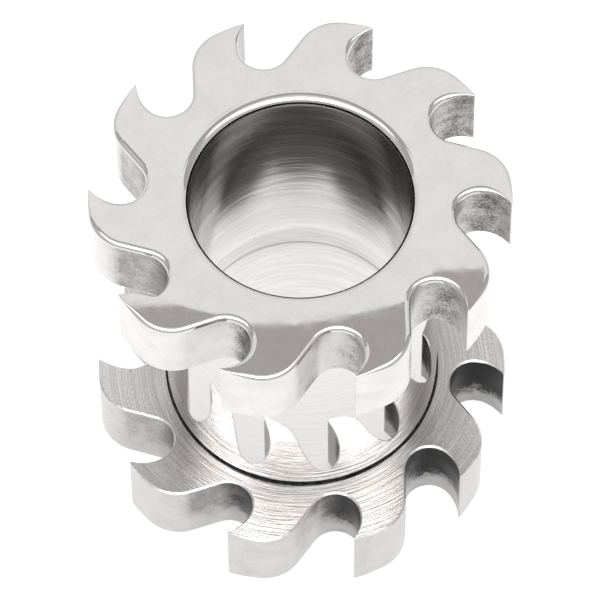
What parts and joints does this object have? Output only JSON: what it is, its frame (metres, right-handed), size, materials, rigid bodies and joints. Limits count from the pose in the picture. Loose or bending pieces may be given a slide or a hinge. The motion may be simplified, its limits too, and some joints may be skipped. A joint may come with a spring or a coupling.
{
  "type": "ear tunnel",
  "caption": "Screw-fit steel ear tunnel with an open bore through its barrel and a flat flange of hooked saw teeth at each end; the back flange unscrews.",
  "frame": {"origin": "on the bore's axis, on the back flange's flat outer face, which the tunnel stands on", "axes": "+Z along the bore, from the back flange to the front flange"},
  "size_m": [0.015, 0.0148, 0.0155],
  "materials": {
    "polished_steel": "polished",
    "turned_steel": "satin"
  },
  "bodies": {
    "back": {"screw_back": "turned_steel"},
    "barrel": {"barrel_with_front_flange": "polished_steel"}
  },
  "joints": [
    {"name": "unscrew", "type": "slide", "parent": "back", "child": "barrel", "axis": [0, 0, 1], "range_m": [0, 0.004]}
  ]
}
